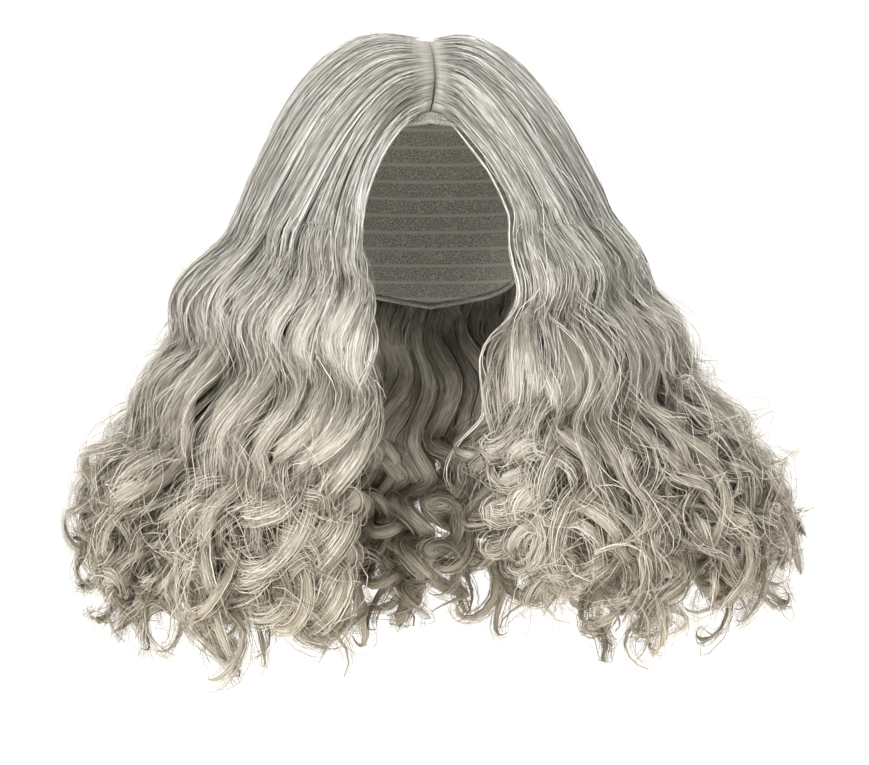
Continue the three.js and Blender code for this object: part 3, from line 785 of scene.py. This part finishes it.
def nylon_net(name, colour, dark):
    """Knitted nylon net: matt, with a 2 mm mesh and rows of stitched hair wefts 13 mm apart."""
    material, tree = new_material(name)
    place = add_node(tree, "ShaderNodeTexCoord")
    mesh_cells = add_node(tree, "ShaderNodeTexVoronoi", {"Scale": 1 / (2.2 * MM)},
                          {"Vector": place.outputs["Object"]}, feature="DISTANCE_TO_EDGE")
    holes = add_node(tree, "ShaderNodeMapRange", {"From Min": 0.05, "From Max": 0.22},
                     {"Value": mesh_cells.outputs[0]})
    split = add_node(tree, "ShaderNodeSeparateXYZ", {}, {0: place.outputs["Object"]})
    wave = calculate(tree, "SINE", calculate(tree, "MULTIPLY", split.outputs[2], 2 * math.pi / (13 * MM)))
    weft = add_node(tree, "ShaderNodeMapRange", {"From Min": 0.72, "From Max": 0.9}, {"Value": wave})
    thread = calculate(tree, "SUBTRACT", 1, holes.outputs[0])
    raised = calculate(tree, "MAXIMUM", thread, weft.outputs[0])
    colours = add_node(tree, "ShaderNodeMix", {6: (*dark, 1), 7: (*colour, 1)}, {0: raised},
                       data_type="RGBA")
    bump = add_node(tree, "ShaderNodeBump", {"Strength": 0.7, "Distance": 0.6 * MM}, {"Height": raised})
    shader = add_node(tree, "ShaderNodeBsdfPrincipled", {"Roughness": 0.85},
                      {"Base Color": colours.outputs[2], "Normal": bump.outputs[0]})
    add_node(tree, "ShaderNodeOutputMaterial", {}, {"Surface": shader.outputs[0]})
    return material


def pale_paper(name, colour):
    """Matt seamless background paper."""
    material, tree = new_material(name)
    shader = add_node(tree, "ShaderNodeBsdfPrincipled", {"Base Color": (*colour, 1), "Roughness": 0.9})
    add_node(tree, "ShaderNodeOutputMaterial", {}, {"Surface": shader.outputs[0]})
    return material


class WigHair(bpy.types.PropertyGroup):
    """Sizes of the hair."""

    wave_length: FloatProperty(name="Wave length", description="Length of one wave above the curled ends",
                               default=86 * MM, unit="LENGTH")
    wave_height: FloatProperty(name="Wave height", description="How far a wave swings to each side",
                               default=10.5 * MM, unit="LENGTH")
    curl_length: FloatProperty(name="Curl length", description="Drop of one turn at the ends",
                               default=40 * MM, unit="LENGTH")
    curl_radius: FloatProperty(name="Curl radius", description="Radius of one turn at the ends",
                               default=15 * MM, unit="LENGTH")
    bundle_width: FloatProperty(name="Bundle width", description="Width of one bundle of hair",
                                default=23 * MM, unit="LENGTH")
    ribbon_width: FloatProperty(name="Ribbon width", description="Width of one fine ribbon of fibres",
                                default=0.55 * MM, unit="LENGTH")
    flyaway_width: FloatProperty(name="Fly-away width", description="Width of one loose fibre",
                                 default=0.32 * MM, unit="LENGTH")
    wander: FloatProperty(name="Wander", description="How far a ribbon strays within its bundle",
                          default=1.4 * MM, unit="LENGTH")
    # Painted highlight and shade: how much lighter a crest is painted than a hollow in the tone.
    painted_crest_highlight: FloatProperty(name="Crest shine", description="How much lighter a crest is than a hollow",
                               default=0.2)
    tone_spread: FloatProperty(name="Tone spread", description="How much the ribbons differ in shade",
                               default=0.18)
    rows: IntProperty(name="Rows", description="Places along each bundle", default=52)
    veil_strands: IntProperty(name="Veil strands", description="Loose ribbons in each veil", default=14)
    flyaways: IntProperty(name="Fly-aways", description="Loose fibres in each veil", default=9)
    ringlet_rows: IntProperty(name="Ringlet rows", description="Places along each ringlet", default=32)
    ringlet_ribbons: IntProperty(name="Ringlet ribbons", description="Ribbons in each ringlet", default=18)
    ringlet_flyaways: IntProperty(name="Ringlet fly-aways", description="Loose fibres in each", default=5)
    crown_rows: IntProperty(name="Crown rows", description="Places along each combed clump", default=28)
    crown_clumps: IntProperty(name="Crown clumps", description="Combed clumps on each side", default=100)
    crown_ribbons: IntProperty(name="Crown ribbons", description="Ribbons in each combed clump", default=15)


class WigFinish(bpy.types.PropertyGroup):
    """Colours and gloss."""

    shadow: FloatVectorProperty(name="Shadow", description="Hair in the depth of a lock", subtype="COLOR",
                                default=linear("#646056"))
    ash: FloatVectorProperty(name="Ash", description="Darker strands", subtype="COLOR",
                             default=linear("#9B968A"))
    silver: FloatVectorProperty(name="Silver", description="Main tone", subtype="COLOR",
                                default=linear("#C4C1B7"))
    warmth: FloatVectorProperty(name="Warmth", description="Tint towards the ends", subtype="COLOR",
                                default=linear("#FFF4E4"))
    white: FloatVectorProperty(name="White", description="Palest strands", subtype="COLOR",
                               default=linear("#F4F2EE"))
    roughness: FloatProperty(name="Roughness", description="Gloss of the fibre", default=0.28)
    net: FloatVectorProperty(name="Net", description="Thread of the cap", subtype="COLOR",
                             default=linear("#B9B6AC"))
    net_holes: FloatVectorProperty(name="Net holes", description="Between the threads", subtype="COLOR",
                                   default=linear("#8F8C83"))


class WigStage(bpy.types.PropertyGroup):
    """Camera, light and floor."""

    distance: FloatProperty(name="Camera distance", description="From the middle of the head", default=2.2,
                            unit="LENGTH")
    height: FloatProperty(name="Camera height", description="Below the top of the head", default=-0.231,
                          unit="LENGTH")
    lens: FloatProperty(name="Lens", description="Focal length in millimetres", default=121.7)
    key: FloatProperty(name="Key light", description="Power of the large light", default=60, unit="POWER")
    fill: FloatProperty(name="Fill light", description="Power of the light on the other side", default=18,
                        unit="POWER")
    top: FloatProperty(name="Top light", description="Power of the light above", default=24, unit="POWER")
    backdrop: FloatProperty(name="Backdrop light", description="Power of the light on the paper",
                            default=42, unit="POWER")
    paper: FloatVectorProperty(name="Paper", description="Floor and backdrop", subtype="COLOR",
                               default=linear("#F4F3F0"))


def fibre_material(scene, name):
    """The fibre material of that name."""
    finish = scene.wig_finish
    colours = [tuple(c) for c in (finish.shadow, finish.ash, finish.silver, finish.white)]
    return modacrylic_fibre(name, colours, tuple(finish.warmth), finish.roughness)


def cap_rim(azimuth):
    """A point of the cap's rim, in the middle of its wall."""
    folded = np.minimum(azimuth, 360 - azimuth)
    hang = lerp(HAIRLINE_DROP, NAPE_DROP, reader(RIM, "azimuth", "hang")(folded))
    half = [HEAD_WIDTH / 2 + CAP_WALL / 2, HEAD_LENGTH / 2 + CAP_WALL / 2, CROWN_HEIGHT + CAP_WALL / 2]
    above = np.clip((CROWN_HEIGHT - hang) / CROWN_HEIGHT, 0, 1) ** (HEAD_SQUARENESS / 2)
    polar = np.arccos(above)
    below = np.maximum(hang - CROWN_HEIGHT, 0)
    turn = np.radians(azimuth)
    power = 2 / HEAD_SQUARENESS
    x = half[0] * signed_power(np.sin(polar) * np.sin(turn), power)
    y = half[1] * signed_power(-np.sin(polar) * np.cos(turn), power)
    z = half[2] * signed_power(np.cos(polar), power) - CROWN_HEIGHT - below
    return np.stack([x, y, z], -1)


class WIG_OT_cap(bpy.types.Operator):
    """Dress the net cap with a smooth knitted surface and an elastic hem"""

    bl_idname = "wig.cap"
    bl_label = "Net cap"

    def execute(self, context):
        finish = context.scene.wig_finish
        bpy.ops.object.select_all(action="DESELECT")
        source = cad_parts["cap"]
        cap = source.copy()
        cap.data = source.data.copy()
        cap.name = "net_cap"
        context.scene.collection.objects.link(cap)
        context.view_layer.objects.active = cap
        cap.select_set(True)
        bpy.ops.object.mode_set(mode="EDIT")
        bpy.ops.mesh.select_all(action="SELECT")
        bpy.ops.mesh.remove_doubles(threshold=1e-5)
        bpy.ops.mesh.tris_convert_to_quads()
        bpy.ops.object.mode_set(mode="OBJECT")
        smooth = cap.modifiers.new("Smooth", "SUBSURF")
        smooth.levels = smooth.render_levels = 1
        bpy.ops.object.modifier_apply(modifier="Smooth")
        bpy.ops.object.shade_smooth()
        # The hem, an elastic cord knitted round the rim
        curve = bpy.data.curves.new("hem", "CURVE")
        curve.dimensions = "3D"
        curve.bevel_depth = 1.8 * MM
        curve.bevel_resolution = 2
        spline = curve.splines.new("POLY")
        rim = cap_rim(np.linspace(0, 360, 120, endpoint=False))
        spline.points.add(len(rim) - 1)
        for point, place in zip(spline.points, rim):
            point.co = (*place, 1)
        spline.use_cyclic_u = True
        hem = bpy.data.objects.new("hem", curve)
        context.scene.collection.objects.link(hem)
        cap.select_set(False)
        hem.select_set(True)
        context.view_layer.objects.active = hem
        bpy.ops.object.convert(target="MESH")
        bpy.ops.object.shade_smooth()
        cap.select_set(True)
        context.view_layer.objects.active = cap
        bpy.ops.object.join()
        cap.data.materials.clear()
        net = nylon_net("Knitted nylon net", tuple(finish.net), tuple(finish.net_holes))
        cap.data.materials.append(net)
        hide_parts("cap")
        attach(cap, "root")
        return {"FINISHED"}


class WIG_OT_crown(bpy.types.Operator):
    """Comb the hair of the crown from the parting to the ears"""

    bl_idname = "wig.crown"
    bl_label = "Combed crown"

    def execute(self, context):
        hair = context.scene.wig_hair
        finish = fibre_material(context.scene, "Combed modacrylic fibre")
        crown_piece(SIDES["left"], "crown_left", hair, finish, 101)
        crown_piece(SIDES["right"], "crown_right", hair, finish, 102)
        return {"FINISHED"}


class WIG_OT_locks(bpy.types.Operator):
    """Hang the wavy locks round the head, each with curled ends"""

    bl_idname = "wig.locks"
    bl_label = "Wavy locks"

    def execute(self, context):
        hair = context.scene.wig_hair
        finish = fibre_material(context.scene, "Waved modacrylic fibre")
        for number, side in enumerate(SIDES.values()):
            for k, row in enumerate(side.locks):
                lock_piece(side, row, side.borders[k + 1], hair, finish, 1000 * (number + 1) + k)
        return {"FINISHED"}


class WIG_OT_stage(bpy.types.Operator):
    """Set the floor, the backdrop, the soft studio lights and the camera"""

    bl_idname = "wig.stage"
    bl_label = "Studio"

    def execute(self, context):
        scene = context.scene
        stage = scene.wig_stage
        bpy.ops.object.select_all(action="DESELECT")
        floor_height, floor_width, floor_depth, backdrop_height = -0.9, 9, 7, 5
        far_edge = floor_depth / 2 - 0.5
        bpy.ops.mesh.primitive_plane_add(size=1, location=(0, 0, floor_height))
        paper = context.object
        paper.name = "paper"
        paper.scale = (floor_width, floor_depth, 1)
        bpy.ops.object.transform_apply(location=False, rotation=False, scale=True)
        bpy.ops.object.mode_set(mode="EDIT")
        bpy.ops.mesh.select_mode(type="EDGE")
        bpy.ops.mesh.select_all(action="DESELECT")
        bpy.ops.object.mode_set(mode="OBJECT")
        for edge in paper.data.edges:
            edge.select = all(paper.data.vertices[v].co.y > far_edge for v in edge.vertices)
        bpy.ops.object.mode_set(mode="EDIT")
        bpy.ops.mesh.extrude_region_move(TRANSFORM_OT_translate={"value": (0, 0, backdrop_height)})
        bpy.ops.object.mode_set(mode="OBJECT")
        for edge in paper.data.edges:
            ends = [paper.data.vertices[v].co for v in edge.vertices]
            edge.select = all(end.y > far_edge and end.z < 0.1 for end in ends)
        bpy.ops.object.mode_set(mode="EDIT")
        bpy.ops.mesh.bevel(offset=1.2, segments=16)
        bpy.ops.object.mode_set(mode="OBJECT")
        bpy.ops.object.shade_smooth()
        paper.data.materials.append(pale_paper("Background paper", tuple(stage.paper)))
        target = Vector((0, 0, -0.2))
        lights = (
            ("key", stage.key, 1.6, (-1.5, -2.2, 1.1)),
            ("fill", stage.fill, 2.0, (2.0, -1.8, 0.3)),
            ("top", stage.top, 1.4, (0.2, 0.5, 1.9)),
            ("backdrop", stage.backdrop, 3.0, (0, 1.2, 2.6)),
        )
        for name, power, size, place in lights:
            light = bpy.data.lights.new(name, "AREA")
            light.energy = power
            light.size = size
            lamp = bpy.data.objects.new(name, light)
            lamp.location = place
            aim = Vector((0, 3.4, -0.3)) if name == "backdrop" else target
            lamp.rotation_euler = (aim - Vector(place)).to_track_quat("-Z", "Y").to_euler()
            scene.collection.objects.link(lamp)
        world = bpy.data.worlds.new("Studio")
        scene.world = world
        world.use_nodes = True
        background = world.node_tree.nodes["Background"]
        background.inputs[0].default_value = (*linear("#FFFFFF"), 1)
        background.inputs[1].default_value = 0.66
        scene.view_settings.view_transform = "Standard"
        camera = bpy.data.cameras.new("camera")
        camera.lens = stage.lens
        viewer = bpy.data.objects.new("camera", camera)
        viewer.location = (0.003, -stage.distance, stage.height)
        viewer.rotation_euler = (math.pi / 2, 0, 0)
        scene.collection.objects.link(viewer)
        scene.camera = viewer
        return {"FINISHED"}


class WIG_PT_panel(bpy.types.Panel):
    """Lists the wig's operators and settings"""

    bl_idname = "WIG_PT_panel"
    bl_label = "Curly wig"
    bl_space_type = "VIEW_3D"
    bl_region_type = "UI"
    bl_category = "Wig"

    def draw(self, context):
        for operator in OPERATORS:
            self.layout.operator(operator.bl_idname)
        for name in GROUPS:
            settings = getattr(context.scene, name)
            for key in settings.__annotations__:
                self.layout.prop(settings, key)


OPERATORS = (WIG_OT_cap, WIG_OT_crown, WIG_OT_locks, WIG_OT_stage)
GROUPS = {"wig_hair": WigHair, "wig_finish": WigFinish, "wig_stage": WigStage}


def register():
    for group in (*GROUPS.values(), *OPERATORS, WIG_PT_panel):
        bpy.utils.register_class(group)
    for name, group in GROUPS.items():
        setattr(bpy.types.Scene, name, PointerProperty(type=group))


def unregister():
    for name in GROUPS:
        delattr(bpy.types.Scene, name)
    for group in reversed((*GROUPS.values(), *OPERATORS, WIG_PT_panel)):
        bpy.utils.unregister_class(group)


def main():
    register()
    bpy.ops.wig.cap()
    bpy.ops.wig.crown()
    bpy.ops.wig.locks()
    bpy.ops.wig.stage()


if __name__ == "__main__":
    main()
